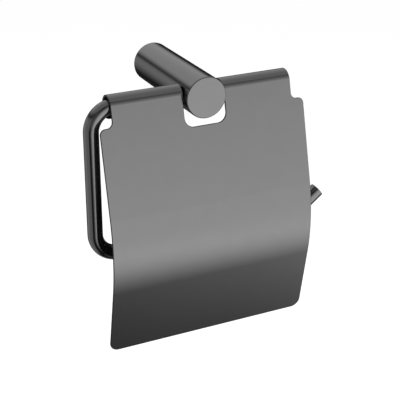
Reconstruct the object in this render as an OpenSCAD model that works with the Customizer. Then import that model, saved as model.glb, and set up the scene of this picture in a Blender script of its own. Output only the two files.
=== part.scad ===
// Covered toilet paper holder: a round post on the wall, a roll arm bent from one rod, and a sheet
// cover that hangs from the top of the arm. X runs to the right, +Y into the wall, +Z up.
// The origin is the middle of the post where it meets the wall.

/* [Post] */
// Diameter of the post
post_d = 22; // [20:0.5:28]
// Length of the post, from the wall to its front face
post_len = 68.8; // [60:0.2:90]
// Radius on the edge of the front face
post_edge_r = 0.6; // [0.2:0.1:2]
// Thickness of the wall around the socket at the wall end
socket_wall = 1.8; // [1.4:0.1:2.4]
// Depth of that socket
socket_depth = 20; // [16:1:26]

/* [Wall bracket] */
// Thickness of the bracket
bracket_len = 10; // [8:0.5:13]
// Gap all round between the bracket and the socket
bracket_gap = 0.2; // [0.1:0.05:0.4]
// Diameter of the two wall screw holes
wall_hole_d = 4.2; // [3.2:0.1:4.6]
// Distance between the two wall screw holes
wall_hole_pitch = 10; // [9:0.5:11]
// Diameter of the countersink for a wall screw's head
countersink_d = 7.2; // [6.4:0.1:7.8]
// Depth of the groove that the set screw draws on
groove_depth = 1.2; // [0.8:0.1:1.6]
// Width of the flat floor of the groove
groove_floor = 2; // [1.8:0.1:3]

/* [Set screws] */
// Thread diameter of both set screws
set_screw_d = 4; // [3:0.5:5]
// Length of the set screw that holds the post on its bracket
post_screw_len = 3; // [2.5:0.1:3.1]
// Length of the set screw that holds the arm in the post
arm_screw_len = 6; // [4:0.5:7]
// Width across the flats of the hexagon socket
hex_key = 2; // [1.5:0.1:2.5]
// Depth of the hexagon socket
hex_depth = 1.5; // [1:0.1:1.8]

/* [Roll arm] */
// Diameter of the rod
rod_d = 8; // [6:0.5:10]
// Distance from the post's front face back to the rod's axis
arm_inset = 9.7; // [8:0.1:16]
// Distance from the post's axis to the side bar's axis
arm_half = 58.9; // [55:0.1:75]
// Distance from the post's axis down to the roll bar's axis
arm_drop = 80.5; // [60:0.5:100]
// Radius of the rod's bends, on its axis
arm_bend_r = 12.5; // [11:0.5:20]
// How far to the right the roll bar runs straight
bar_right = 53.3; // [45:0.1:70]
// Angle of the upturned tip above the roll bar
tip_angle = 38; // [20:1:60]
// Straight length of the upturned tip
tip_len = 16; // [10:0.5:25]
// Radius on the edges of the rod's cut ends
rod_edge_r = 0.4; // [0.2:0.1:1]

/* [Hinge sleeves] */
// Wall of the plastic sleeves that the cover turns on
sleeve_wall = 0.85; // [0.6:0.05:1.5]
// Radial gap between a sleeve and the rod
sleeve_gap = 0.05; // [0.02:0.01:0.1]
// Radial running gap between a sleeve and the inside of the fold
hinge_gap = 0.1; // [0.05:0.01:0.2]
// Distance from each end of a sleeve to the cut-out and to the bend
sleeve_end_gap = 1.2; // [0.5:0.1:3]

/* [Cover] */
// Thickness of the sheet
sheet_t = 1; // [0.8:0.1:1.5]
// How far the shoulders stand out beyond the fold, on each side
shoulder_w = 6.95; // [6:0.05:12]
// Distance from the fold's axis down to the shoulders
shoulder_drop = 10.1; // [8:0.1:14]
// Radius on the shoulders and in their inner corners
shoulder_r = 3; // [1:0.1:3]
// Length of the flat upper part, below the fold's axis
upper_len = 55.4; // [40:0.1:70]
// Outer radius of the wide bend
wide_bend_r = 98; // [60:1:140]
// Angle of the wide bend
wide_bend_angle = 25; // [15:1:35]
// Length of the flat lower part
lower_len = 38.1; // [25:0.1:55]
// Radius of the bottom corners
corner_r = 5; // [2:0.5:12]
// Length of the back leg, below the fold's axis
leg_len = 7; // [5:0.5:9]
// Radius on the outer corners of the back leg
leg_corner_r = 3; // [1:0.5:4]
// Angle that the cover stands away from hanging plumb
lean = 13.2; // [0:0.1:30]
// Gap between the cut-out and each side of the post
cut_side_gap = 0.6; // [0.4:0.1:2]
// Gap between the post's front edge and the cut-out as the cover swings
cut_swing_gap = 1.5; // [0.8:0.1:4]
// Radius in the lower corners of the cut-out
cut_corner_r = 5; // [1:0.5:6]
// Gap between the rod's bend and the fold where the fold ends
fold_end_gap = 0.1; // [0.05:0.05:1]
// Width of the bevel on the fold's inner end edges
fold_bevel = 0.5; // [0.2:0.1:0.6]
// How far the rod stops short of the fold's right end
rod_inset = 4; // [2:0.5:10]

/* [Hidden] */
$fn = 96;
dark_metal = [0.42, 0.42, 0.43];
zinc = [0.72, 0.72, 0.74];
black_steel = [0.16, 0.16, 0.17];
nylon = [0.12, 0.12, 0.12];
cut = 1;            // how far a cutting tool passes beyond the face it cuts
thread_gap = 0.05;  // radial gap between a set screw and its tapped hole
bore_gap = 0.05;    // radial gap between the rod and the hole through the post
seat_gap = 0.05;    // gap between a set screw's tip and what it presses on
spot_depth = 0.4;   // depth of the flat spot drilled in the rod for its set screw
// A straight piece that leaves a slanted bend starts this far inside it and stands this much
// proud of it, so that the two always make one solid.
weld_lap = 0.3;
weld_proud = 0.01;

post_r = post_d / 2;
socket_r = post_r - socket_wall;
bracket_r = socket_r - bracket_gap;
groove_y = bracket_len / 2;
rod_r = rod_d / 2;
screw_r = set_screw_d / 2;
screw_hole_r = screw_r + thread_gap;
point_h = groove_depth;
arm_reach = post_len - arm_inset;
bend_x = arm_half - arm_bend_r;

sleeve_in_r = rod_r + sleeve_gap;
sleeve_out_r = sleeve_in_r + sleeve_wall;
fold_in_r = sleeve_out_r + hinge_gap;
fold_out_r = fold_in_r + sheet_t;
// The fold reaches over the start of the rod's bend until the bend's underside comes near it.
fold_past_bend = sqrt(pow(arm_bend_r - rod_r, 2) - pow(arm_bend_r - fold_in_r, 2)) - fold_end_gap;
fold_half = bend_x + fold_past_bend;
cover_half = fold_half + shoulder_w;
cut_half = post_r + cut_side_gap;
cut_drop = norm([arm_inset, post_r]) + cut_swing_gap;
cut_r = min(cut_corner_r, cut_half);
shoulder_round = min(shoulder_r, shoulder_w / 2);

// Turns a shape so that its own x, y and z lie along the wall's normal, upwards and to the right.
module along_x() {
    rotate([90, 0, 90]) children();
}

// Turns a shape that stands on z = 0 so that it runs out of the wall.
module out_of_wall() {
    rotate([90, 0, 0]) children();
}

// Outer corner of a rounded edge: what is left of a square outside a quarter circle.
module corner_waste(r) {
    difference() {
        square(r + cut);
        circle(r);
    }
}

// Inner corner of a rounded edge: what fills the corner of the first quadrant.
module corner_fill(r) {
    difference() {
        square(r);
        translate([r, r]) circle(r);
    }
}

// Round bar standing on z = 0, with its top edge rounded.
module bar(r, len, edge_r) {
    rotate_extrude()
        difference() {
            square([r, len]);
            translate([r - edge_r, len - edge_r]) corner_waste(edge_r);
        }
}

// Set screw with its tip up at z = 0: a hexagon socket below, and a conical point where point > 0.
module set_screw(len, point) {
    tip_r = screw_r - point;
    difference() {
        union() {
            translate([0, 0, -len]) cylinder(r = screw_r, h = len - point);
            if (point > 0)
                translate([0, 0, -point]) cylinder(r1 = screw_r, r2 = tip_r, h = point);
        }
        translate([0, 0, -len - cut])
            cylinder(d = hex_key / cos(30), h = hex_depth + cut, $fn = 6);
    }
}

// Zinc puck screwed to the wall inside the post's socket, with a groove round it.
module wall_bracket() {
    groove_half = groove_floor / 2;
    color(zinc)
        out_of_wall()
            difference() {
                rotate_extrude()
                    difference() {
                        square([bracket_r, bracket_len]);
                        translate([bracket_r - groove_depth, groove_y])
                            polygon([
                                [0, -groove_half],
                                [groove_depth + cut, -groove_half - groove_depth - cut],
                                [groove_depth + cut, groove_half + groove_depth + cut],
                                [0, groove_half],
                            ]);
                    }
                for (side = [-1, 1])
                    translate([0, side * wall_hole_pitch / 2, 0])
                        screw_hole();
            }
}

// Countersunk hole through the bracket, its wide end at the front.
module screw_hole() {
    sink_h = (countersink_d - wall_hole_d) / 2;
    translate([0, 0, -cut])
        cylinder(d = wall_hole_d, h = bracket_len + 2 * cut);
    translate([0, 0, bracket_len - sink_h])
        cylinder(d1 = wall_hole_d, d2 = countersink_d, h = sink_h);
    translate([0, 0, bracket_len])
        cylinder(d = countersink_d, h = cut);
}

// Turned post: blind socket at the wall, cross hole for the arm, two tapped holes underneath.
module post() {
    color(dark_metal)
        difference() {
            out_of_wall() bar(post_r, post_len, post_edge_r);
            translate([0, cut, 0]) out_of_wall()
                cylinder(r = socket_r, h = socket_depth + cut);
            translate([-post_r - cut, -arm_reach, 0]) rotate([0, 90, 0])
                cylinder(r = rod_r + bore_gap, h = post_d + 2 * cut);
            for (hole_y = [-groove_y, -arm_reach])
                translate([0, hole_y, -post_r - cut])
                    cylinder(r = screw_hole_r, h = post_r + cut);
        }
}

// Set screw under the post, near the wall, with its point in the bracket's groove.
module post_set_screw() {
    color(black_steel)
        translate([0, -groove_y, -bracket_r + groove_depth - seat_gap])
            set_screw(post_screw_len, point_h);
}

// Set screw under the post that clamps the arm.
module arm_set_screw() {
    color(black_steel)
        translate([0, -arm_reach, -rod_r + spot_depth - seat_gap])
            set_screw(arm_screw_len, 0);
}

// Quarter or part bend of the rod in the plane of the arm, from one angle on by another.
module rod_bend(start, sweep) {
    out_of_wall()
        rotate([0, 0, start])
            rotate_extrude(angle = sweep)
                translate([arm_bend_r, 0]) circle(rod_r);
}

// Roll arm: one rod, from inside the fold's right end through the post, down the side and under.
module roll_arm() {
    top_right = fold_half - rod_inset;
    bend_top_z = -arm_bend_r;
    bend_low_z = -arm_drop + arm_bend_r;
    color(dark_metal)
        translate([0, -arm_reach, 0])
            difference() {
                union() {
                    translate([-bend_x, 0, 0]) rotate([0, 90, 0])
                        bar(rod_r, bend_x + top_right, rod_edge_r);
                    translate([-bend_x, 0, bend_top_z]) rod_bend(90, 90);
                    translate([-arm_half, 0, bend_low_z])
                        cylinder(r = rod_r, h = bend_top_z - bend_low_z);
                    translate([-bend_x, 0, bend_low_z]) rod_bend(180, 90);
                    translate([-bend_x, 0, -arm_drop]) rotate([0, 90, 0])
                        cylinder(r = rod_r, h = bend_x + bar_right);
                    translate([bar_right, 0, bend_low_z]) {
                        rod_bend(270, tip_angle);
                        rotate([0, 90 - tip_angle, 0])
                            translate([arm_bend_r, 0, -weld_lap])
                                bar(rod_r + weld_proud, tip_len + weld_lap, rod_edge_r);
                    }
                }
                translate([0, 0, -rod_r - cut])
                    cylinder(r = screw_hole_r, h = spot_depth + cut);
            }
}

// Two plastic sleeves on the rod, one on each side of the post.
module hinge_sleeves() {
    inner = cut_half + sleeve_end_gap;
    outer = bend_x - sleeve_end_gap;
    color(nylon)
        for (side = [-1, 1])
            translate([side * inner, -arm_reach, 0])
                rotate([0, side * 90, 0])
                    difference() {
                        cylinder(r = sleeve_out_r, h = outer - inner);
                        translate([0, 0, -cut])
                            cylinder(r = sleeve_in_r, h = outer - inner + 2 * cut);
                    }
}

// Outline of the flat upper part: x to the right, y up, y = 0 level with the fold's axis.
module upper_outline() {
    difference() {
        union() {
            translate([-fold_half, -shoulder_drop]) square([2 * fold_half, shoulder_drop]);
            translate([-cover_half, -upper_len])
                square([2 * cover_half, upper_len - shoulder_drop]);
            for (side = [0, 1])
                mirror([side, 0])
                    translate([fold_half, -shoulder_drop]) corner_fill(shoulder_round);
        }
        for (side = [0, 1])
            mirror([side, 0])
                translate([cover_half - shoulder_round, -shoulder_drop - shoulder_round])
                    corner_waste(shoulder_round);
        post_cut();
    }
}

// Cut-out that the post passes through, with its two lower corners rounded.
module post_cut() {
    difference() {
        translate([-cut_half, -cut_drop]) square([2 * cut_half, cut_drop + cut]);
        for (side = [0, 1])
            mirror([side, 0])
                translate([-cut_half, -cut_drop]) corner_fill(cut_r);
    }
}

// Outline of the back leg: x to the right, y up, y = 0 level with the fold's axis.
module leg_outline() {
    difference() {
        translate([-fold_half, -leg_len]) square([2 * fold_half, leg_len]);
        for (side = [0, 1])
            mirror([side, 0])
                translate([fold_half - leg_corner_r, leg_corner_r - leg_len])
                    mirror([0, 1]) corner_waste(leg_corner_r);
        translate([-cut_half, -leg_len - cut]) square([2 * cut_half, leg_len + 2 * cut]);
    }
}

// Outline of the flat lower part: x to the right, y up, y = 0 where the wide bend ends.
module lower_outline() {
    difference() {
        translate([-cover_half, -lower_len])
            square([2 * cover_half, lower_len + weld_lap]);
        for (side = [0, 1])
            mirror([side, 0])
                translate([cover_half - corner_r, corner_r - lower_len])
                    mirror([0, 1]) corner_waste(corner_r);
    }
}

// Part of a round bend of the sheet about the x axis; angle 0 faces the wall and 90 faces up.
module sheet_bend(outer_r, half, start, sweep) {
    along_x()
        rotate([0, 0, start])
            rotate_extrude(angle = sweep)
                translate([outer_r - sheet_t, -half]) square([sheet_t, 2 * half]);
}

// The sheet with its upper part plumb, its fold's axis on the x axis and its face to -y.
module cover_sheet() {
    bend_centre_y = -fold_out_r + wide_bend_r;
    difference() {
        sheet_bend(fold_out_r, fold_half, 0, 180);
        translate([-cut_half, -fold_out_r - cut, -cut])
            cube([2 * cut_half, 2 * (fold_out_r + cut), fold_out_r + 2 * cut]);
        for (side = [0, 1])
            mirror([side, 0, 0]) fold_end_bevel();
    }
    difference() {
        translate([0, fold_out_r, 0]) out_of_wall()
            linear_extrude(sheet_t) leg_outline();
        for (side = [0, 1])
            mirror([side, 0, 0]) fold_end_bevel();
    }
    translate([0, -fold_in_r, 0]) out_of_wall()
        linear_extrude(sheet_t) upper_outline();
    translate([0, bend_centre_y, -upper_len]) {
        sheet_bend(wide_bend_r, cover_half, 180, wide_bend_angle);
        rotate([wide_bend_angle, 0, 0])
            translate([0, -wide_bend_r + sheet_t + weld_proud, 0]) out_of_wall()
                linear_extrude(sheet_t + 2 * weld_proud) lower_outline();
    }
}

// Bevel on the inner edge of the fold's end, over the start of the rod's bend.
module fold_end_bevel() {
    translate([fold_half - fold_bevel, 0, 0]) rotate([0, 90, 0]) {
        cylinder(r1 = fold_in_r, r2 = fold_in_r + fold_bevel, h = fold_bevel);
        translate([0, 0, fold_bevel]) cylinder(r = fold_in_r + fold_bevel, h = cut);
    }
}

// Sheet cover hung over the arm on its two sleeves, leaning out at the angle set above.
module cover() {
    color(dark_metal)
        translate([0, -arm_reach, 0]) rotate([-lean, 0, 0]) cover_sheet();
}

wall_bracket();
post();
post_set_screw();
roll_arm();
arm_set_screw();
hinge_sleeves();
cover();
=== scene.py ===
import math

import bmesh
import bpy
from mathutils import Matrix, Vector


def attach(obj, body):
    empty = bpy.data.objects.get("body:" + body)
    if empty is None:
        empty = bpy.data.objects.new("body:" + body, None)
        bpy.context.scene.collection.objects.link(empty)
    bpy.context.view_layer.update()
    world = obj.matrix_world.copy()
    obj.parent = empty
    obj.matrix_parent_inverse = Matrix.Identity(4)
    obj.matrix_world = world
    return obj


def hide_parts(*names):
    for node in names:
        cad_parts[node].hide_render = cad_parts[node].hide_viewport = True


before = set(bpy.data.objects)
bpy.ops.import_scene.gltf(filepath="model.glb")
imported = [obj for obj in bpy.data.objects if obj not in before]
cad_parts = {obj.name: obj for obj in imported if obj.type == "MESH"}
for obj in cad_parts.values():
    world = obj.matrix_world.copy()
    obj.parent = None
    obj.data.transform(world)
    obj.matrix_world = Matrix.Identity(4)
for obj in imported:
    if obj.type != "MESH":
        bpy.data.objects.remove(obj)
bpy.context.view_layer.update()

# ---- The studio: camera -------------------------------------------------------------------
# A long lens a little above the holder and to its left, as a catalogue would show it. The view
# is given as azimuth, elevation and roll, in degrees, round a point between post and cover.

VIEW_AZIMUTH = -24.68
VIEW_ELEVATION = 22.30
VIEW_ROLL = -0.47
VIEW_TARGET = Vector((0.0, -0.040, -0.045))
VIEW_DISTANCE = 0.5916
LENS_MM = 98.44
LENS_SHIFT = (0.04175, -0.09715)
LENS_REACH = (0.01, 50.0)


def direction(azimuth, elevation):
    """The way out from the holder at angles in degrees: 0, 0 is straight out from the wall."""
    turn, rise = math.radians(azimuth), math.radians(elevation)
    return Vector((
        math.sin(turn) * math.cos(rise), -math.cos(turn) * math.cos(rise), math.sin(rise),
    ))


towards_camera = direction(VIEW_AZIMUTH, VIEW_ELEVATION)
level_right = direction(VIEW_AZIMUTH + 90, 0)
level_up = towards_camera.cross(level_right)
roll = math.radians(VIEW_ROLL)
camera_right = math.cos(roll) * level_right + math.sin(roll) * level_up
camera_up = towards_camera.cross(camera_right)

camera_data = bpy.data.cameras.new("studio_camera")
camera_data.lens = LENS_MM
camera_data.shift_x, camera_data.shift_y = LENS_SHIFT
camera_data.clip_start, camera_data.clip_end = LENS_REACH
camera = bpy.data.objects.new("studio_camera", camera_data)
bpy.context.scene.collection.objects.link(camera)
camera.matrix_world = Matrix.Translation(
    VIEW_TARGET + towards_camera * VIEW_DISTANCE
) @ Matrix((camera_right, camera_up, towards_camera)).transposed().to_4x4()
bpy.context.scene.camera = camera
bpy.context.scene.view_settings.view_transform = "Standard"

# ---- The studio: world and floor ----------------------------------------------------------
# A plain white surround and a plain pale floor well below the holder, which hangs on a wall.
# What looks straight at them, or at them in metal or glass, sees white; the rest is plain light.

SKY_LIGHT = 0.55
FLOOR_Z = -1.30
FLOOR_R = 12.0
FLOOR_SIDES = 64
FLOOR_COLOUR = (0.86, 0.86, 0.86, 1.0)
FLOOR_FILL = 0.50


def node(tree, kind, **values):
    """Adds a shader node; a keyword sets a property, or an input where there is one."""
    made = tree.nodes.new(kind)
    for name, value in values.items():
        if hasattr(made, name):
            setattr(made, name, value)
        else:
            made.inputs[name.replace("_", " ")].default_value = value
    return made


def wire(tree, source, target):
    tree.links.new(source, target)


def seen_directly(tree):
    """1 for the rays that look at a surround: from the camera, from gloss and through glass."""
    path = node(tree, "ShaderNodeLightPath")
    either = node(tree, "ShaderNodeMath", operation="MAXIMUM")
    any_of = node(tree, "ShaderNodeMath", operation="MAXIMUM")
    wire(tree, path.outputs["Is Camera Ray"], either.inputs[0])
    wire(tree, path.outputs["Is Glossy Ray"], either.inputs[1])
    wire(tree, either.outputs[0], any_of.inputs[0])
    wire(tree, path.outputs["Is Transmission Ray"], any_of.inputs[1])
    return any_of.outputs[0]


world = bpy.data.worlds.new("studio_surround")
bpy.context.scene.world = world
world.use_nodes = True
sky = world.node_tree
sky.nodes.clear()
plain = node(sky, "ShaderNodeBackground", Color=(1, 1, 1, 1), Strength=SKY_LIGHT)
white = node(sky, "ShaderNodeBackground", Color=(1, 1, 1, 1), Strength=1.0)
choose = node(sky, "ShaderNodeMixShader")
out = node(sky, "ShaderNodeOutputWorld")
wire(sky, seen_directly(sky), choose.inputs[0])
wire(sky, plain.outputs[0], choose.inputs[1])
wire(sky, white.outputs[0], choose.inputs[2])
wire(sky, choose.outputs[0], out.inputs["Surface"])

floor_mesh = bpy.data.meshes.new("studio_floor")
floor_shape = bmesh.new()
bmesh.ops.create_circle(floor_shape, cap_ends=True, radius=FLOOR_R, segments=FLOOR_SIDES)
bmesh.ops.translate(floor_shape, vec=(0, 0, FLOOR_Z), verts=floor_shape.verts)
floor_shape.to_mesh(floor_mesh)
floor_shape.free()
floor = bpy.data.objects.new("studio_floor", floor_mesh)
bpy.context.scene.collection.objects.link(floor)
floor_paint = bpy.data.materials.new("pale_floor")
floor_paint.use_nodes = True
paint = floor_paint.node_tree
paint.nodes.clear()
matt = node(paint, "ShaderNodeBsdfDiffuse", Color=FLOOR_COLOUR)
fill = node(paint, "ShaderNodeEmission", Color=(1, 1, 1, 1))
fill_level = node(paint, "ShaderNodeMath", operation="MULTIPLY")
fill_level.inputs[1].default_value = FLOOR_FILL
both = node(paint, "ShaderNodeAddShader")
out = node(paint, "ShaderNodeOutputMaterial")
wire(paint, seen_directly(paint), fill_level.inputs[0])
wire(paint, fill_level.outputs[0], fill.inputs["Strength"])
wire(paint, matt.outputs[0], both.inputs[0])
wire(paint, fill.outputs[0], both.inputs[1])
wire(paint, both.outputs[0], out.inputs["Surface"])
floor_mesh.materials.append(floor_paint)

# ---- The studio: lamps --------------------------------------------------------------------
# Three large soft boxes. Metal doesn't mirror them: it mirrors the tent below.

LAMP_DISTANCE = 2.2

for name, azimuth, elevation, size, watts in (
    ("key_softbox", -40, 50, 1.4, 22.0),
    ("fill_softbox", 55, 30, 1.6, 12.0),
    ("back_softbox", 170, 45, 1.6, 12.0),
):
    lamp_data = bpy.data.lights.new(name, "AREA")
    lamp_data.shape, lamp_data.size, lamp_data.energy = "SQUARE", size, watts
    lamp = bpy.data.objects.new(name, lamp_data)
    bpy.context.scene.collection.objects.link(lamp)
    away = direction(azimuth, elevation)
    lamp.location = VIEW_TARGET + away * LAMP_DISTANCE
    lamp.rotation_mode = "QUATERNION"
    lamp.rotation_quaternion = away.to_track_quat("Z", "Y")
    lamp.visible_glossy = False

# ---- The studio: tent ---------------------------------------------------------------------
# A round tent of black cloth hung with grey cloths, which only metal and gloss see. The white
# surround shows through one opening at the front right. Dark metal gets its form from such a
# tent. Angles are in degrees, with azimuths negative on the left, and greys run from 0 to 1.

TENT_R = 1.1
TENT_STEP = 3
TENT_END = 88  # how far up and down the rows of cloth go
BLACK_CLOTH = 0.012
ROOF_CLOTH = 0.31
ROOF_REAR_GAIN = 0.36
ROOF_RIGHT_GAIN = 0.08
RIM_HEIGHT = 0.50  # heights of the roof's rim, as shares of the tent's radius
RIM_REAR_DROP = 0.31
RIM_CORNER_DROP = 0.16
RIM_MOST = 0.73
RIM_GAP = 9  # the black line between the cloths and the roof
PORCH_AZIMUTH = 15  # the rim rises over the opening
PORCH_START = 0.38
SILL_LEVEL = -35.5
SILL_LOWEST = -42
OPENING_LEFT = -35
OPENING_RIGHT = (62, 76)
OPENING_FADE = 40
# Cloths up to the rim, as (grey, azimuths, elevations of the foot): at the front left, on the
# left, growing lighter towards the rear, and at the left rear. The four azimuths say where a
# cloth starts, is whole, thins out and has ended, and the foot's two where it starts and is whole.
HIGH_CLOTHS = (
    (0.13, (-60, -50, -28, -12), (-12, 2)),
    (0.30, (-152, -134, -60, -48), (-75, -60)),
    (0.20, (-152, -134, -142, -80), (-75, -60)),
    (0.36, (-176, -166, -152, -134), (-28, 0)),
)
# Cloths that hang lower, as (grey, azimuths, elevations), with four of each: a skirt below the
# opening, one on the right and one at the right rear. One more closes the rear below them all.
LOW_CLOTHS = (
    (0.08, (5, 22, 32, 46), (-72, -56, -50, -42)),
    (0.25, (84, 96, 112, 130), (-66, -54, -44, -36)),
    (0.06, (112, 124, 138, 150), (-66, -54, -6, 4)),
)
REAR_LOW_CLOTH = 0.35
REAR_LOW_SIDES = (138, 160)
REAR_LOW_FOOT = (-82, -68)


def blend(x, start, end):
    """0 below start and 1 above end, with a smooth step between."""
    share = min(max((x - start) / (end - start), 0.0), 1.0)
    return share * share * (3 - 2 * share)


def band(x, start, whole, thinning, end):
    """0 outside start and end, and 1 from whole to thinning, with smooth steps between."""
    return blend(x, start, whole) * (1 - blend(x, thinning, end))


def tent_cloth(azimuth, elevation):
    """(grey level of the cloth, how far it is open) in one direction."""
    level_part = math.cos(math.radians(elevation))
    rearward = max(-math.cos(math.radians(azimuth)) * level_part, 0)
    rightward = max(math.sin(math.radians(azimuth)) * level_part, 0)
    porch = max(math.cos(math.radians(azimuth - PORCH_AZIMUTH)) * level_part - PORCH_START, 0)
    rim = RIM_HEIGHT - RIM_REAR_DROP * rearward**2 - RIM_CORNER_DROP * rearward * rightward + porch
    rim = math.degrees(math.asin(min(rim, RIM_MOST)))
    grey = ROOF_CLOTH + ROOF_REAR_GAIN * rearward + ROOF_RIGHT_GAIN * rightward
    grey *= blend(elevation, rim - 2, rim + 20 - 12 * rearward)  # a soft edge, sharper behind
    for cloth, across, foot in HIGH_CLOTHS:
        grey += cloth * band(azimuth, *across) * band(elevation, *foot, rim - RIM_GAP, rim)
    for cloth, across, upwards in LOW_CLOTHS:
        grey += cloth * band(azimuth, *across) * band(elevation, *upwards)
    head = 0.3 * abs(azimuth) - 92  # the low rear cloth is cut lower towards its sides
    grey += (
        REAR_LOW_CLOTH * blend(abs(azimuth), *REAR_LOW_SIDES)
        * band(elevation, *REAR_LOW_FOOT, head, head + 12)
    )
    left = OPENING_LEFT + 0.45 * max(elevation, 0)  # its left side leans inwards
    sill = max(SILL_LEVEL - 0.25 * (azimuth + 5), SILL_LOWEST)  # its sill falls to the right
    opening = band(azimuth, left, left + OPENING_FADE, *OPENING_RIGHT)
    opening *= blend(elevation, sill - 15, sill + 17)
    opening *= min(max(1 - (elevation + 4) / 60, 0), 1)  # whole at the foot, closed high up
    return BLACK_CLOTH + grey, opening


def join_rings(shape, low, high):
    """The faces between two rings that have as many points."""
    return [
        shape.faces.new((low[i - 1], low[i], high[i], high[i - 1])) for i in range(len(low))
    ]


tent_mesh = bpy.data.meshes.new("studio_tent")
tent_shape = bmesh.new()
cloth_layer = tent_shape.verts.layers.float.new("cloth")
open_layer = tent_shape.verts.layers.float.new("open")
rows = []
for elevation in range(-TENT_END, TENT_END + 1, TENT_STEP):
    row = []
    for azimuth in range(-180, 180, TENT_STEP):
        knot = tent_shape.verts.new(VIEW_TARGET + TENT_R * direction(azimuth, elevation))
        knot[cloth_layer], knot[open_layer] = tent_cloth(azimuth, elevation)
        row.append(knot)
    rows.append(row)
for low, high in zip(rows, rows[1:]):
    join_rings(tent_shape, low, high)
tent_shape.faces.new(rows[0])
tent_shape.faces.new(rows[-1])
tent_shape.to_mesh(tent_mesh)
tent_shape.free()
tent = bpy.data.objects.new("studio_tent", tent_mesh)
bpy.context.scene.collection.objects.link(tent)
cloth = bpy.data.materials.new("tent_cloth")
cloth.use_nodes = True
weave = cloth.node_tree
weave.nodes.clear()
level = node(weave, "ShaderNodeAttribute", attribute_name="cloth")
gap = node(weave, "ShaderNodeAttribute", attribute_name="open")
glow = node(weave, "ShaderNodeEmission", Color=(1, 1, 1, 1))
clear = node(weave, "ShaderNodeBsdfTransparent")
part = node(weave, "ShaderNodeMixShader")
out = node(weave, "ShaderNodeOutputMaterial")
wire(weave, level.outputs["Fac"], glow.inputs["Strength"])
wire(weave, gap.outputs["Fac"], part.inputs[0])
wire(weave, glow.outputs[0], part.inputs[1])
wire(weave, clear.outputs[0], part.inputs[2])
wire(weave, part.outputs[0], out.inputs["Surface"])
tent_mesh.materials.append(cloth)
tent.visible_camera = tent.visible_diffuse = tent.visible_shadow = False
tent.visible_transmission = tent.visible_volume_scatter = False

# ---- Wall bracket -------------------------------------------------------------------------
# A puck of die-cast zinc, screwed flat to the wall inside the post. It keeps the dull, faintly
# pebbled skin of its mould and has a groove round it for the post's set screw.

MM = 0.001
ZINC_LIGHT = (0.60, 0.60, 0.61, 1.0)
ZINC_DARK = (0.50, 0.50, 0.51, 1.0)
ZINC_ROUGH = (0.36, 0.48)
ZINC_PEBBLE = 0.7 * MM
ZINC_CLOUD = 3 * MM
ZINC_RELIEF = 0.012 * MM
NOISE_RANGE = (0.25, 0.75)  # nearly all of the noise from a speckle lies in here


def new_finish(name, **values):
    """A material with a principled shader, and its tree and shader."""
    finish = bpy.data.materials.new(name)
    finish.use_nodes = True
    tree = finish.node_tree
    tree.nodes.clear()
    shader = node(tree, "ShaderNodeBsdfPrincipled", **values)
    wire(tree, shader.outputs[0], node(tree, "ShaderNodeOutputMaterial").inputs["Surface"])
    return finish, tree, shader


def speckle(tree, where, size, detail=2.0):
    """Noise from 0 to 1 with grains of one size, in metres."""
    grains = node(tree, "ShaderNodeTexNoise", Scale=1 / size, Detail=detail)
    wire(tree, where, grains.inputs["Vector"])
    return grains.outputs["Fac"]


def spread(tree, value, low, high):
    """A speckle stretched to run from low to high."""
    stretch = node(tree, "ShaderNodeMapRange", To_Min=low, To_Max=high)
    stretch.inputs["From Min"].default_value, stretch.inputs["From Max"].default_value = NOISE_RANGE
    wire(tree, value, stretch.inputs["Value"])
    return stretch.outputs["Result"]


def two_tone(tree, value, shader, dark, light):
    """Colours a shader between two tones."""
    tones = node(tree, "ShaderNodeMix", data_type="RGBA")
    wire(tree, value, tones.inputs["Factor"])
    tones.inputs[6].default_value, tones.inputs[7].default_value = dark, light
    wire(tree, tones.outputs[2], shader.inputs["Base Color"])


def relief(tree, value, shader, height):
    """Raises a shader's surface by a height in metres where a value is 1."""
    bump = node(tree, "ShaderNodeBump", Strength=1.0, Distance=height)
    wire(tree, value, bump.inputs["Height"])
    wire(tree, bump.outputs[0], shader.inputs["Normal"])


def on_object(tree):
    return node(tree, "ShaderNodeTexCoord").outputs["Object"]


cast_zinc, tree, shader = new_finish("die_cast_zinc", Metallic=1.0)
skin = speckle(tree, on_object(tree), ZINC_PEBBLE, 3.0)
two_tone(tree, speckle(tree, on_object(tree), ZINC_CLOUD), shader, ZINC_DARK, ZINC_LIGHT)
wire(tree, spread(tree, skin, *ZINC_ROUGH), shader.inputs["Roughness"])
relief(tree, skin, shader, ZINC_RELIEF)
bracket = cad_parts["wall_bracket"]
bracket.data.materials.clear()
bracket.data.materials.append(cast_zinc)

# ---- Post ---------------------------------------------------------------------------------
# A round bar of stainless steel turned on a lathe, bored from behind to slip over the bracket
# and drilled across for the arm. Its gunmetal coat keeps the lathe's fine rings.

GUNMETAL_DARK = (0.258, 0.258, 0.258, 1.0)
GUNMETAL_LIGHT = (0.272, 0.272, 0.272, 1.0)
GUNMETAL_ROUGH = (0.165, 0.195)
GUNMETAL_CLOUD = 9 * MM
GUNMETAL_RELIEF = 0.0006 * MM
LATHE_FEED = 0.12 * MM


def gunmetal(name, lines_of, clouds_of):
    """Gunmetal coat over lined steel.

    lines_of(tree) gives coordinates that stretch grains of noise into lines, and clouds_of(tree)
    plain ones in metres, for faint clouds in the colour.
    """
    finish, tree, shader = new_finish(name, Metallic=1.0)
    lines = speckle(tree, lines_of(tree), 1.0, 2.0)
    wire(tree, spread(tree, lines, *GUNMETAL_ROUGH), shader.inputs["Roughness"])
    clouds = speckle(tree, clouds_of(tree), GUNMETAL_CLOUD, 1.0)
    two_tone(tree, clouds, shader, GUNMETAL_DARK, GUNMETAL_LIGHT)
    relief(tree, lines, shader, GUNMETAL_RELIEF)
    return finish


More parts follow.
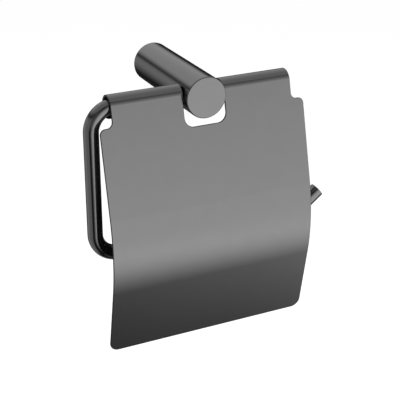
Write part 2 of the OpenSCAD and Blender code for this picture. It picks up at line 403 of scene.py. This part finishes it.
def calc(tree, operation, *values):
    """A math node on sockets and numbers."""
    made = node(tree, "ShaderNodeMath", operation=operation)
    for socket, value in zip(made.inputs, values):
        if isinstance(value, (int, float)):
            socket.default_value = value
        else:
            wire(tree, value, socket)
    return made.outputs[0]


def turning_rings(tree):
    """Coordinates that change only outwards from the post's axis and along it."""
    apart = node(tree, "ShaderNodeSeparateXYZ")
    wire(tree, on_object(tree), apart.inputs[0])
    x, y, z = apart.outputs
    radius = calc(tree, "SQRT", calc(
        tree, "ADD", calc(tree, "MULTIPLY", x, x), calc(tree, "MULTIPLY", z, z)
    ))
    ring = node(tree, "ShaderNodeCombineXYZ")
    wire(tree, calc(tree, "DIVIDE", radius, LATHE_FEED), ring.inputs[0])
    wire(tree, calc(tree, "DIVIDE", y, LATHE_FEED), ring.inputs[1])
    return ring.outputs[0]


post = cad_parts["post"]
post.data.materials.clear()
post.data.materials.append(gunmetal("gunmetal_turned", turning_rings, on_object))

# ---- Set screws ---------------------------------------------------------------------------
# Two short hexagon-socket screws of blackened steel, turned in from under the post. One draws
# on the bracket's groove with its point, the other clamps the arm with its flat tip.

SCREW_R = 2.0 * MM
THREAD_PITCH = 0.7 * MM
THREAD_DEPTH = 0.38 * MM
SCREW_CHAMFER = 0.3 * MM
SCREW_SIDES = 32
HEX_KEY = 2.0 * MM
HEX_DEPTH = 1.5 * MM
ARM_Y = -59.1 * MM
POST_SCREW = (-5.0 * MM, -7.85 * MM, 3.0 * MM, 1.2 * MM)  # y, z of the tip, length, point
ARM_SCREW = (ARM_Y, -3.65 * MM, 6.0 * MM, 0.3 * MM)
BLACK_DARK = (0.030, 0.030, 0.032, 1.0)
BLACK_LIGHT = (0.055, 0.055, 0.057, 1.0)
BLACK_ROUGH = (0.34, 0.46)
BLACK_PEBBLE = 0.3 * MM
BLACK_RELIEF = 0.002 * MM
CRISP_ANGLE = math.radians(30)  # sharper edges than this stay crisp


def link(name, mesh):
    made = bpy.data.objects.new(name, mesh)
    bpy.context.scene.collection.objects.link(made)
    return made


def turned(name, profile, sides, place=Matrix()):
    """An object turned on Z from (radius, height) points, then moved to its place."""
    shape = bmesh.new()
    rings = []
    for radius, height in profile:
        if radius == 0:
            rings.append([shape.verts.new((0, 0, height))])
        else:
            rings.append([
                shape.verts.new((radius * math.cos(turn), radius * math.sin(turn), height))
                for turn in (math.tau * i / sides for i in range(sides))
            ])
    closed = profile[0][0] != 0
    for low, high in zip(rings, rings[1:] + rings[:1] if closed else rings[1:]):
        for i in range(sides):
            corners = [low[i - 1], low[i]] if len(low) > 1 else [low[0]]
            corners += [high[i], high[i - 1]] if len(high) > 1 else [high[0]]
            shape.faces.new(corners)
    bmesh.ops.recalc_face_normals(shape, faces=shape.faces)
    shape.transform(place)
    mesh = bpy.data.meshes.new(name)
    shape.to_mesh(mesh)
    shape.free()
    return link(name, mesh)


def new_rule(name, sizes):
    """A Geometry Nodes tree with an input for each size, and its input and output nodes."""
    rule = bpy.data.node_groups.new(name, "GeometryNodeTree")
    rule.interface.new_socket("Shape", in_out="INPUT", socket_type="NodeSocketGeometry")
    rule.interface.new_socket("Shape", in_out="OUTPUT", socket_type="NodeSocketGeometry")
    for size in sizes:
        rule.interface.new_socket(size, in_out="INPUT", socket_type="NodeSocketFloat")
    return rule, node(rule, "NodeGroupInput"), node(rule, "NodeGroupOutput")


def close_rule(rule, shape, out, finish):
    """Ends a tree: instances made real, and one material on everything."""
    real = node(rule, "GeometryNodeRealizeInstances")
    painted = node(rule, "GeometryNodeSetMaterial", Material=finish)
    wire(rule, shape, real.inputs[0])
    wire(rule, real.outputs[0], painted.inputs["Geometry"])
    wire(rule, painted.outputs[0], out.inputs[0])


def made_by(rule, blank, name, sizes):
    """A plain mesh object: a blank worked by a tree with these sizes."""
    work = blank.modifiers.new("work", "NODES")
    work.node_group = rule
    for item in rule.interface.items_tree:
        if item.name in sizes:
            work[item.identifier] = sizes[item.name]
    worked = blank.evaluated_get(bpy.context.evaluated_depsgraph_get())
    mesh = bpy.data.meshes.new_from_object(worked)
    blank.modifiers.clear()
    bpy.data.objects.remove(blank)
    mesh.name = name
    mesh.shade_smooth()
    mesh.set_sharp_from_angle(angle=CRISP_ANGLE)
    made = link(name, mesh)
    true_faces = made.modifiers.new("true_faces", "WEIGHTED_NORMAL")
    true_faces.keep_sharp = True
    return made


def thread_profile(length, point):
    """Half section of a set screw, socket end down at z = 0, with a ring for each thread."""
    profile = [(0, 0), (SCREW_R - SCREW_CHAMFER, 0), (SCREW_R, SCREW_CHAMFER)]
    z = SCREW_CHAMFER
    while z + THREAD_PITCH < length - point:
        profile += [(SCREW_R - THREAD_DEPTH, z + THREAD_PITCH / 2), (SCREW_R, z + THREAD_PITCH)]
        z += THREAD_PITCH
    return profile + [(SCREW_R, length - point), (SCREW_R - point, length), (0, length)]


black_steel, tree, shader = new_finish("blackened_steel", Metallic=0.8)
oxide = speckle(tree, on_object(tree), BLACK_PEBBLE, 3.0)
two_tone(tree, oxide, shader, BLACK_DARK, BLACK_LIGHT)
wire(tree, spread(tree, oxide, *BLACK_ROUGH), shader.inputs["Roughness"])
relief(tree, oxide, shader, BLACK_RELIEF)

socket_rule, given, out = new_rule("hexagon_socket", ("Key", "Depth"))
broach = node(socket_rule, "GeometryNodeMeshCylinder", Vertices=6)
corner_r = calc(socket_rule, "DIVIDE", given.outputs["Key"], 2 * math.cos(math.radians(30)))
wire(socket_rule, corner_r, broach.inputs["Radius"])
wire(socket_rule, calc(socket_rule, "MULTIPLY", given.outputs["Depth"], 2.0), broach.inputs["Depth"])
broached = node(socket_rule, "GeometryNodeMeshBoolean", operation="DIFFERENCE", solver="EXACT")
wire(socket_rule, given.outputs[0], broached.inputs["Mesh 1"])
wire(socket_rule, broach.outputs["Mesh"], broached.inputs["Mesh 2"])
close_rule(socket_rule, broached.outputs["Mesh"], out, black_steel)

for name, replaced, (y, tip_z, length, point) in (
    ("post_grub_screw", "post_set_screw", POST_SCREW),
    ("arm_grub_screw", "arm_set_screw", ARM_SCREW),
):
    blank = turned(name + "_blank", thread_profile(length, point), SCREW_SIDES)
    screw = made_by(socket_rule, blank, name, {"Key": HEX_KEY, "Depth": HEX_DEPTH})
    screw.data.transform(Matrix.Translation((0, y, tip_z - length)))
    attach(screw, "post_and_arm")
    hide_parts(replaced)

# ---- Roll arm -----------------------------------------------------------------------------
# One round rod of stainless steel, bent on a former: from the fold's right end through the post,
# down the left side, and under to the right, where its tip turns up to keep the roll on.

ROD_R = 4.0 * MM
ROD_EDGE_R = 0.4 * MM
ROD_BEND_R = 12.5 * MM
ROD_SIDES = 64
EDGE_STEPS = 6
BEND_STEPS = 28
ENDS_STRAIGHT = 0.01  # share of the rod at each end that has no bend
ROD_RIGHT = 46.3 * MM
SIDE_BAR_X = -58.9 * MM
ROLL_BAR_Z = -80.5 * MM
ROLL_BAR_RIGHT = 53.3 * MM
TIP_ANGLE = math.radians(38)
TIP_LEN = 16.0 * MM
SPOT_DEPTH = 0.4 * MM  # the arm's set screw sits in a shallow drilled spot
DRILL_R = 2.05 * MM
DRILL_LEN = 2 * MM
DRILL_SIDES = 32
ROD_GRAIN = 0.12 * MM
ROD_GRAIN_LEN = 9.0 * MM

tip_direction = Vector((math.cos(TIP_ANGLE), 0, math.sin(TIP_ANGLE)))
bend_corner = Vector((ROLL_BAR_RIGHT + ROD_BEND_R * math.tan(TIP_ANGLE / 2), ARM_Y, ROLL_BAR_Z))
rod_corners = [
    Vector((ROD_RIGHT, ARM_Y, 0)),
    Vector((SIDE_BAR_X, ARM_Y, 0)),
    Vector((SIDE_BAR_X, ARM_Y, ROLL_BAR_Z)),
    bend_corner,
    bend_corner + tip_direction * (ROD_BEND_R * math.tan(TIP_ANGLE / 2) + TIP_LEN),
]


def rounded_end(end, inwards):
    """(point, radius) from a cut end inwards: a quarter circle on the rod's edge."""
    angles = [math.radians(90 * i / EDGE_STEPS) for i in range(EDGE_STEPS + 1)]
    return [(
        end + inwards * ROD_EDGE_R * (1 - math.cos(angle)),
        ROD_R - ROD_EDGE_R * (1 - math.sin(angle)),
    ) for angle in angles]


first_way = (rod_corners[1] - rod_corners[0]).normalized()
rod_points = rounded_end(rod_corners[0], first_way)
rod_points += [(corner, ROD_R) for corner in rod_corners[1:-1]]
rod_points += rounded_end(rod_corners[-1], -tip_direction)[::-1]
rod_line = bpy.data.curves.new("rod_line", "CURVE")
rod_line.dimensions = "3D"
spline = rod_line.splines.new("POLY")
spline.points.add(len(rod_points) - 1)
for spot, (where, radius) in zip(spline.points, rod_points):
    spot.co, spot.radius = (*where, 1.0), radius / ROD_R


def drawn_lines(tree):
    """Coordinates that run round the rod finely and along it slowly."""
    section = node(tree, "ShaderNodeAttribute", attribute_name="section")
    along = node(tree, "ShaderNodeAttribute", attribute_name="along")
    apart = node(tree, "ShaderNodeSeparateXYZ")
    wire(tree, section.outputs["Vector"], apart.inputs[0])
    line = node(tree, "ShaderNodeCombineXYZ")
    wire(tree, calc(tree, "DIVIDE", apart.outputs[0], ROD_GRAIN), line.inputs[0])
    wire(tree, calc(tree, "DIVIDE", apart.outputs[1], ROD_GRAIN), line.inputs[1])
    wire(tree, calc(tree, "DIVIDE", along.outputs["Fac"], ROD_GRAIN_LEN), line.inputs[2])
    return line.outputs[0]


rod_coat = gunmetal("gunmetal_rod", drawn_lines, on_object)
rod_rule, given, out = new_rule("bent_rod", ("Rod radius", "Bend radius", "Spot depth"))
how_far = node(rod_rule, "GeometryNodeSplineParameter").outputs["Factor"]
at_bend = calc(
    rod_rule, "MULTIPLY", calc(rod_rule, "GREATER_THAN", how_far, ENDS_STRAIGHT),
    calc(rod_rule, "LESS_THAN", how_far, 1 - ENDS_STRAIGHT),
)
bent = node(rod_rule, "GeometryNodeFilletCurve", mode="POLY")
wire(rod_rule, calc(rod_rule, "MULTIPLY", at_bend, BEND_STEPS), bent.inputs["Count"])
wire(rod_rule, given.outputs[0], bent.inputs["Curve"])
wire(rod_rule, given.outputs["Bend radius"], bent.inputs["Radius"])
along = node(rod_rule, "GeometryNodeStoreNamedAttribute", Name="along")
wire(rod_rule, bent.outputs[0], along.inputs["Geometry"])
wire(rod_rule, node(rod_rule, "GeometryNodeSplineParameter").outputs["Length"], along.inputs["Value"])
ring = node(rod_rule, "GeometryNodeCurvePrimitiveCircle", Resolution=ROD_SIDES)
wire(rod_rule, given.outputs["Rod radius"], ring.inputs["Radius"])
section = node(rod_rule, "GeometryNodeStoreNamedAttribute", data_type="FLOAT_VECTOR", Name="section")
wire(rod_rule, ring.outputs[0], section.inputs["Geometry"])
wire(rod_rule, node(rod_rule, "GeometryNodeInputPosition").outputs[0], section.inputs["Value"])
swept = node(rod_rule, "GeometryNodeCurveToMesh", Fill_Caps=True)
wire(rod_rule, along.outputs[0], swept.inputs["Curve"])
wire(rod_rule, section.outputs[0], swept.inputs["Profile Curve"])
wire(rod_rule, node(rod_rule, "GeometryNodeInputRadius").outputs[0], swept.inputs["Scale"])
drill = node(
    rod_rule, "GeometryNodeMeshCylinder", Vertices=DRILL_SIDES, Radius=DRILL_R, Depth=DRILL_LEN,
)
drilled_at = node(rod_rule, "ShaderNodeCombineXYZ", Y=ARM_Y)
wire(rod_rule, calc(
    rod_rule, "SUBTRACT", calc(rod_rule, "SUBTRACT", given.outputs["Spot depth"], DRILL_LEN / 2),
    given.outputs["Rod radius"],
), drilled_at.inputs["Z"])
drill_set = node(rod_rule, "GeometryNodeTransform")
wire(rod_rule, drill.outputs["Mesh"], drill_set.inputs["Geometry"])
wire(rod_rule, drilled_at.outputs[0], drill_set.inputs["Translation"])
drilled = node(rod_rule, "GeometryNodeMeshBoolean", operation="DIFFERENCE", solver="EXACT")
wire(rod_rule, swept.outputs[0], drilled.inputs["Mesh 1"])
wire(rod_rule, drill_set.outputs[0], drilled.inputs["Mesh 2"])
close_rule(rod_rule, drilled.outputs["Mesh"], out, rod_coat)

rod = made_by(rod_rule, link("rod_line", rod_line), "bent_rod_arm", {
    "Rod radius": ROD_R, "Bend radius": ROD_BEND_R, "Spot depth": SPOT_DEPTH,
})
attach(rod, "post_and_arm")
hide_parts("roll_arm")

# ---- Hinge sleeves ------------------------------------------------------------------------
# Two thin tubes of black nylon on the rod, one each side of the post. The cover's fold turns on
# them without scratching the rod.

SLEEVE_IN_R = 4.05 * MM
SLEEVE_OUT_R = 4.9 * MM
SLEEVE_ENDS = (12.8 * MM, 45.2 * MM)
SLEEVE_EDGE = 0.15 * MM
SLEEVE_SIDES = 64
NYLON_DARK = (0.016, 0.016, 0.016, 1.0)
NYLON_LIGHT = (0.024, 0.024, 0.024, 1.0)
NYLON_ROUGH = (0.40, 0.52)
NYLON_PEBBLE = 0.25 * MM
NYLON_CLOUD = 4 * MM
NYLON_RELIEF = 0.004 * MM

nylon, tree, shader = new_finish("black_nylon", IOR=1.53)
pebble = speckle(tree, on_object(tree), NYLON_PEBBLE, 2.0)
two_tone(tree, speckle(tree, on_object(tree), NYLON_CLOUD), shader, NYLON_DARK, NYLON_LIGHT)
wire(tree, spread(tree, pebble, *NYLON_ROUGH), shader.inputs["Roughness"])
relief(tree, pebble, shader, NYLON_RELIEF)

sleeve_rule, given, out = new_rule("sleeve_pair", ("Middle",))
spots = node(sleeve_rule, "GeometryNodeMeshLine", Count=2, mode="OFFSET")
first = node(sleeve_rule, "ShaderNodeCombineXYZ", Y=ARM_Y)
wire(sleeve_rule, calc(sleeve_rule, "MULTIPLY", given.outputs["Middle"], -1.0), first.inputs["X"])
step = node(sleeve_rule, "ShaderNodeCombineXYZ")
wire(sleeve_rule, calc(sleeve_rule, "MULTIPLY", given.outputs["Middle"], 2.0), step.inputs["X"])
wire(sleeve_rule, first.outputs[0], spots.inputs["Start Location"])
wire(sleeve_rule, step.outputs[0], spots.inputs["Offset"])
pair = node(sleeve_rule, "GeometryNodeInstanceOnPoints")
wire(sleeve_rule, spots.outputs[0], pair.inputs["Points"])
wire(sleeve_rule, given.outputs[0], pair.inputs["Instance"])
close_rule(sleeve_rule, pair.outputs[0], out, nylon)

inner, outer, edge = SLEEVE_IN_R, SLEEVE_OUT_R, SLEEVE_EDGE
half_len = (SLEEVE_ENDS[1] - SLEEVE_ENDS[0]) / 2
one_sleeve = turned("sleeve_blank", [
    (inner + edge, -half_len), (outer - edge, -half_len), (outer, edge - half_len),
    (outer, half_len - edge), (outer - edge, half_len), (inner + edge, half_len),
    (inner, half_len - edge), (inner, edge - half_len),
], SLEEVE_SIDES, Matrix.Rotation(math.radians(90), 4, "Y"))
sleeves = made_by(sleeve_rule, one_sleeve, "nylon_sleeves", {"Middle": sum(SLEEVE_ENDS) / 2})
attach(sleeves, "post_and_arm")
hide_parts("hinge_sleeves")

# ---- Cover --------------------------------------------------------------------------------
# One blank of 1 mm stainless sheet, cut out for the post, its edges eased, rolled into a hook
# over the sleeves and pressed to a wide bend below. Its cut edges carry painted shade, a darker
# base colour on their faces. The cover swings on the sleeves, and leans out in front of the roll.

SHEET = 0.98 * MM  # 1 mm sheet, less what brushing takes off each face
EASED_FACE = 0.30 * MM
EASED_BACK = 0.20 * MM
FOLD_BEVEL = 0.25 * MM
EASE_STEPS = 4
ARC_STEP = 7.5  # degrees
FOLD_MID_R = 5.5 * MM
FOLD_HALF = 50.3 * MM
COVER_HALF = 57.25 * MM
LEG_LEN = 7.0 * MM
LEG_CORNER_R = 3.0 * MM
SHOULDER_DROP = 10.1 * MM
SHOULDER_R = 3.0 * MM
CUT_HALF = 11.6 * MM
FOLD_CUT_HALF = 11.1 * MM  # the cut-out is narrower across the fold
CUT_STEP_DROP = 1.7 * MM
CUT_STEP_LEN = 0.3 * MM
CUT_DROP = 16.17 * MM
CUT_CORNER_R = 5.0 * MM
CUT_TOP_R = 0.5 * MM
UPPER_LEN = 55.4 * MM
WIDE_MID_R = 97.5 * MM
WIDE_ANGLE = math.radians(25)
LOWER_LEN = 38.1 * MM
CORNER_R = 5.0 * MM
LEAN = math.radians(13.2)
FOLD_SLICES = 40
WIDE_SLICES = 40
SLICE_SLACK = 1e-7
SHEET_GRAIN = 0.14 * MM
SHEET_GRAIN_LEN = 22.0 * MM
# painted shade: the base colour given to the faces of the cut edges in place of the coat's tone
CUT_EDGE_PAINTED_SHADE = (0.10, 0.10, 0.10, 1.0)

fold_len = math.pi * FOLD_MID_R
wide_len = WIDE_ANGLE * WIDE_MID_R
leg_end = fold_len + LEG_LEN
blank_low = -(UPPER_LEN + wide_len + LOWER_LEN)


def arc(x, z, radius, start, sweep):
    """Points on part of a circle, from one angle on by another, in degrees."""
    count = max(round(abs(sweep) / ARC_STEP), 1)
    return [
        (x + radius * math.cos(angle), z + radius * math.sin(angle))
        for angle in (math.radians(start + sweep * i / count) for i in range(count + 1))
    ]


right_edge = (
    arc(COVER_HALF - CORNER_R, blank_low + CORNER_R, CORNER_R, -90, 90)
    + arc(COVER_HALF - SHOULDER_R, -SHOULDER_DROP - SHOULDER_R, SHOULDER_R, 0, 90)
    + arc(FOLD_HALF + SHOULDER_R, -SHOULDER_DROP + SHOULDER_R, SHOULDER_R, -90, -90)
    + arc(FOLD_HALF - LEG_CORNER_R, leg_end - LEG_CORNER_R, LEG_CORNER_R, 0, 90)
    + arc(FOLD_CUT_HALF + CUT_TOP_R, leg_end - CUT_TOP_R, CUT_TOP_R, 90, 90)
    + [(FOLD_CUT_HALF, -CUT_STEP_DROP), (CUT_HALF, -CUT_STEP_DROP - CUT_STEP_LEN)]
    + arc(CUT_HALF - CUT_CORNER_R, -CUT_DROP + CUT_CORNER_R, CUT_CORNER_R, 0, -90)
)
outline = right_edge + [(-x, z) for x, z in reversed(right_edge)]


def inset(loop, distances):
    """A loop drawn inwards at each point by its own distance, at most doubled at a corner."""
    drawn = []
    for i, (x, z) in enumerate(loop):
        before, after = Vector(loop[i - 1]), Vector(loop[(i + 1) % len(loop)])
        into = (Vector((x, z)) - before).normalized()
        away = (after - Vector((x, z))).normalized()
        side = Vector((-(into + away).y, (into + away).x)).normalized()
        reach = distances[i] / max(side.dot(Vector((-into.y, into.x))), 0.5)
        drawn.append((x + side.x * reach, z + side.y * reach))
    return drawn


blank_shape = bmesh.new()
at_cut = blank_shape.faces.layers.float.new("cut_edge")
edge_loops = []  # from the face to the back: how far in, and how deep, at each point
for i in range(EASE_STEPS + 1):
    angle = math.radians(90 * i / EASE_STEPS)
    inwards = EASED_FACE * (1 - math.sin(angle))
    depth = EASED_FACE * (1 - math.cos(angle)) - SHEET / 2
    edge_loops.append(([inwards] * len(outline), [depth] * len(outline)))
eased = [FOLD_BEVEL if z > 0 else EASED_BACK for x, z in outline]
edge_loops.append(([0.0] * len(outline), [SHEET / 2 - size for size in eased]))
edge_loops.append((eased, [SHEET / 2] * len(outline)))
rings = [
    [blank_shape.verts.new((x, depth, z)) for (x, z), depth in zip(inset(outline, far), depths)]
    for far, depths in edge_loops
]
for low, high in zip(rings, rings[1:]):
    for face in join_rings(blank_shape, low, high):
        face[at_cut] = 1.0
blank_shape.faces.new(rings[0])
blank_shape.faces.new(rings[-1])
cuts = [fold_len * i / FOLD_SLICES for i in range(FOLD_SLICES + 1)]
cuts += [-UPPER_LEN - wide_len * i / WIDE_SLICES for i in range(WIDE_SLICES + 1)]
cuts += [-SHOULDER_DROP - SHOULDER_R, -CUT_DROP]
for z in cuts:
    bmesh.ops.bisect_plane(
        blank_shape, geom=blank_shape.verts[:] + blank_shape.edges[:] + blank_shape.faces[:],
        dist=SLICE_SLACK, plane_co=(0, 0, z), plane_no=(0, 0, 1),
    )
bmesh.ops.recalc_face_normals(blank_shape, faces=blank_shape.faces)
blank_mesh = bpy.data.meshes.new("cover_blank")
blank_shape.to_mesh(blank_mesh)
blank_shape.free()


def bend(rule, shape, way, start, length, angle):
    """Bends what lies past a height, up (way 1) or down (way -1), towards the wall."""
    apart = node(rule, "ShaderNodeSeparateXYZ")
    wire(rule, node(rule, "GeometryNodeInputPosition").outputs[0], apart.inputs[0])
    x, depth, z = apart.outputs
    past = calc(rule, "MULTIPLY", calc(rule, "SUBTRACT", z, start), way)
    inside = calc(rule, "MINIMUM", calc(rule, "MAXIMUM", past, 0.0), length)
    rest = calc(rule, "SUBTRACT", past, inside)
    radius = calc(rule, "DIVIDE", length, angle)
    turn = calc(rule, "DIVIDE", inside, radius)
    sine, cosine = calc(rule, "SINE", turn), calc(rule, "COSINE", turn)
    far = calc(rule, "SUBTRACT", radius, depth)
    forward = calc(rule, "ADD", calc(rule, "MULTIPLY", far, sine), calc(rule, "MULTIPLY", rest, cosine))
    inward = calc(
        rule, "ADD", calc(rule, "SUBTRACT", radius, calc(rule, "MULTIPLY", far, cosine)),
        calc(rule, "MULTIPLY", rest, sine),
    )
    bent_to = node(rule, "ShaderNodeCombineXYZ")
    wire(rule, x, bent_to.inputs[0])
    wire(rule, inward, bent_to.inputs[1])
    wire(rule, calc(rule, "ADD", start, calc(rule, "MULTIPLY", forward, way)), bent_to.inputs[2])
    move = node(rule, "GeometryNodeSetPosition")
    wire(rule, shape, move.inputs["Geometry"])
    wire(rule, bent_to.outputs[0], move.inputs["Position"])
    return move.outputs[0]


def on_blank(tree):
    return node(tree, "ShaderNodeAttribute", attribute_name="flat_blank").outputs["Vector"]


def brushed_lines(tree):
    """Coordinates on the flat blank that run across it finely and along it slowly."""
    apart = node(tree, "ShaderNodeSeparateXYZ")
    wire(tree, on_blank(tree), apart.inputs[0])
    line = node(tree, "ShaderNodeCombineXYZ")
    wire(tree, calc(tree, "DIVIDE", apart.outputs[0], SHEET_GRAIN), line.inputs[0])
    wire(tree, calc(tree, "DIVIDE", apart.outputs[2], SHEET_GRAIN_LEN), line.inputs[1])
    return line.outputs[0]


sheet_coat = gunmetal("gunmetal_sheet", brushed_lines, on_blank)
tree = sheet_coat.node_tree
shader = next(made for made in tree.nodes if made.type == "BSDF_PRINCIPLED")
face_tone = shader.inputs["Base Color"].links[0].from_socket
# painted shade: faces marked cut_edge are mixed over to a darker base colour
edge_shade_mix = node(tree, "ShaderNodeMix", data_type="RGBA")
cut_edge = node(tree, "ShaderNodeAttribute", attribute_name="cut_edge")
wire(tree, cut_edge.outputs["Fac"], edge_shade_mix.inputs["Factor"])
wire(tree, face_tone, edge_shade_mix.inputs[6])
edge_shade_mix.inputs[7].default_value = CUT_EDGE_PAINTED_SHADE
wire(tree, edge_shade_mix.outputs[2], shader.inputs["Base Color"])

fold_rule, given, out = new_rule("folded_sheet", (
    "Fold length", "Fold angle", "Upper length", "Wide length", "Wide angle", "Fold radius", "Lean",
))
flat = node(fold_rule, "GeometryNodeStoreNamedAttribute", data_type="FLOAT_VECTOR", Name="flat_blank")
wire(fold_rule, given.outputs[0], flat.inputs["Geometry"])
wire(fold_rule, node(fold_rule, "GeometryNodeInputPosition").outputs[0], flat.inputs["Value"])
lower_start = calc(fold_rule, "MULTIPLY", given.outputs["Upper length"], -1.0)
pressed = bend(
    fold_rule, flat.outputs[0], -1.0, lower_start, given.outputs["Wide length"],
    given.outputs["Wide angle"],
)
rolled = bend(
    fold_rule, pressed, 1.0, 0.0, given.outputs["Fold length"], given.outputs["Fold angle"],
)
hooked = node(fold_rule, "GeometryNodeTransform")
to_rod = node(fold_rule, "ShaderNodeCombineXYZ")
wire(fold_rule, calc(fold_rule, "MULTIPLY", given.outputs["Fold radius"], -1.0), to_rod.inputs["Y"])
wire(fold_rule, rolled, hooked.inputs["Geometry"])
wire(fold_rule, to_rod.outputs[0], hooked.inputs["Translation"])
leaning = node(fold_rule, "ShaderNodeCombineXYZ")
turned_by = node(fold_rule, "FunctionNodeEulerToRotation")
wire(fold_rule, calc(fold_rule, "MULTIPLY", given.outputs["Lean"], -1.0), leaning.inputs["X"])
wire(fold_rule, leaning.outputs[0], turned_by.inputs[0])
hung = node(fold_rule, "GeometryNodeTransform", Translation=(0, ARM_Y, 0))
wire(fold_rule, hooked.outputs[0], hung.inputs["Geometry"])
wire(fold_rule, turned_by.outputs[0], hung.inputs["Rotation"])
close_rule(fold_rule, hung.outputs[0], out, sheet_coat)

cover = made_by(fold_rule, link("cover_blank", blank_mesh), "sheet_cover", {
    "Fold length": fold_len, "Fold angle": math.pi, "Upper length": UPPER_LEN,
    "Wide length": wide_len, "Wide angle": WIDE_ANGLE, "Fold radius": FOLD_MID_R, "Lean": LEAN,
})
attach(cover, "cover")
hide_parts("cover")
